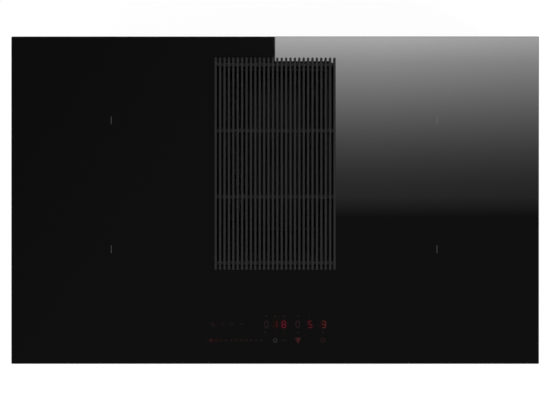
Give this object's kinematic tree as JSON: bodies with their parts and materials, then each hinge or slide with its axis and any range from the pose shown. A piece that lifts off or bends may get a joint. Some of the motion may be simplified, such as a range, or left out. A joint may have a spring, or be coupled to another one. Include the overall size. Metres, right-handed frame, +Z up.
{
  "type": "downdraft induction cooktop",
  "caption": "Black glass induction cooktop with touch controls and a lift-out slatted grille over a central extractor: grease filter, suction chamber and blower below.",
  "frame": {"origin": "middle of the glass in plan, on the plane of the worktop that the seal under the glass rests on", "axes": "+X to the right and +Y to the rear as the cook sees it, +Z up out of the worktop"},
  "size_m": [0.83, 0.515, 0.221],
  "materials": {
    "glass_black": "polished",
    "cast_black": "satin",
    "foam_grey": "matt",
    "rubber_black": "matt",
    "silicone_red": "matt",
    "sheet_steel": "galvanised",
    "frame_black": "satin",
    "spring_steel": "satin",
    "screw_steel": "satin",
    "duct_plastic": "fine grain",
    "filter_plastic": "satin",
    "filter_coated": "satin",
    "filter_steel": "satin",
    "case_plastic": "fine grain",
    "wheel_plastic": "fine grain",
    "fan_plastic": "satin",
    "copper_wire": "lacquered",
    "ferrite": "matt",
    "mica": "matt",
    "aluminium": "mill",
    "board_green": "lacquered",
    "component_black": "moulded",
    "capacitor_grey": "moulded",
    "terminal_white": "moulded",
    "lamination_steel": "varnished",
    "magnet": "matt",
    "bearing_steel": "polished",
    "digit_block": "smoked"
  },
  "bodies": {
    "cooktop": {"base_tray": "sheet_steel", "board_capacitors": "capacitor_grey", "board_tray_left": "case_plastic", "board_tray_right": "case_plastic", "cable_gland": "fan_plastic", "chamber_gasket": "rubber_black", "coil_buffers": "silicone_red", "coil_carrier_front_left": "aluminium", "coil_carrier_front_right": "aluminium", "coil_carrier_rear_left": "aluminium", "coil_carrier_rear_right": "aluminium", "coil_shelf_left": "sheet_steel", "coil_shelf_right": "sheet_steel", "coil_winding_front_left": "copper_wire", "coil_winding_front_right": "copper_wire", "coil_winding_rear_left": "copper_wire", "coil_winding_rear_right": "copper_wire", "control_board": "board_green", "control_housing": "case_plastic", "display_modules": "digit_block", "fan_housing_left": "fan_plastic", "fan_housing_right": "fan_plastic", "ferrite_bars": "ferrite", "glass_frame": "frame_black", "glass_top": "glass_black", "heat_sink_left": "aluminium", "heat_sink_right": "aluminium", "housing_screws": "screw_steel", "mains_filter_board": "board_green", "mica_sheets": "mica", "motor_bearings": "bearing_steel", "motor_grommets": "rubber_black", "motor_plate": "sheet_steel", "motor_stator": "lamination_steel", "plenum_duct": "duct_plastic", "plenum_gasket": "rubber_black", "power_board_left": "board_green", "power_board_right": "board_green", "power_transistors": "component_black", "scroll_cover": "duct_plastic", "scroll_housing": "duct_plastic", "side_clips": "spring_steel", "suction_chamber": "duct_plastic", "temperature_sensors": "component_black", "terminal_block": "terminal_white", "terminal_cover": "case_plastic", "touch_contacts": "rubber_black", "tray_screws": "screw_steel", "worktop_seal": "foam_grey"},
    "grille": {"grille": "cast_black", "grille_pads": "rubber_black"},
    "filter": {"filter_frame": "filter_plastic", "filter_basket": "filter_coated", "filter_mesh": "filter_steel"},
    "blower_rotor": {"impeller": "wheel_plastic", "rotor_cup": "sheet_steel", "rotor_magnet": "magnet", "motor_shaft": "bearing_steel"},
    "fan_left": {"fan_rotor_left": "fan_plastic"},
    "fan_right": {"fan_rotor_right": "fan_plastic"}
  },
  "joints": [
    {"name": "grille_lift", "type": "slide", "parent": "cooktop", "child": "grille", "axis": [0, 0, 1], "range_m": [0, 0.4]},
    {"name": "filter_lift", "type": "slide", "parent": "cooktop", "child": "filter", "axis": [0, 0, 1], "range_m": [0, 0.2]},
    {"name": "impeller_spin", "type": "hinge", "parent": "cooktop", "child": "blower_rotor", "pos_m": [0.238, 0, -0.17], "axis": [0, 0, 1], "continuous": true},
    {"name": "fan_left_spin", "type": "hinge", "parent": "cooktop", "child": "fan_left", "pos_m": [-0.3, -0.186, -0.04], "axis": [0, 0, 1], "continuous": true},
    {"name": "fan_right_spin", "type": "hinge", "parent": "cooktop", "child": "fan_right", "pos_m": [0.3, -0.186, -0.04], "axis": [0, 0, 1], "continuous": true}
  ],
  "couplings": [
    {"joint": "filter_lift", "follows": "grille_lift", "ratio": 0.5}
  ]
}
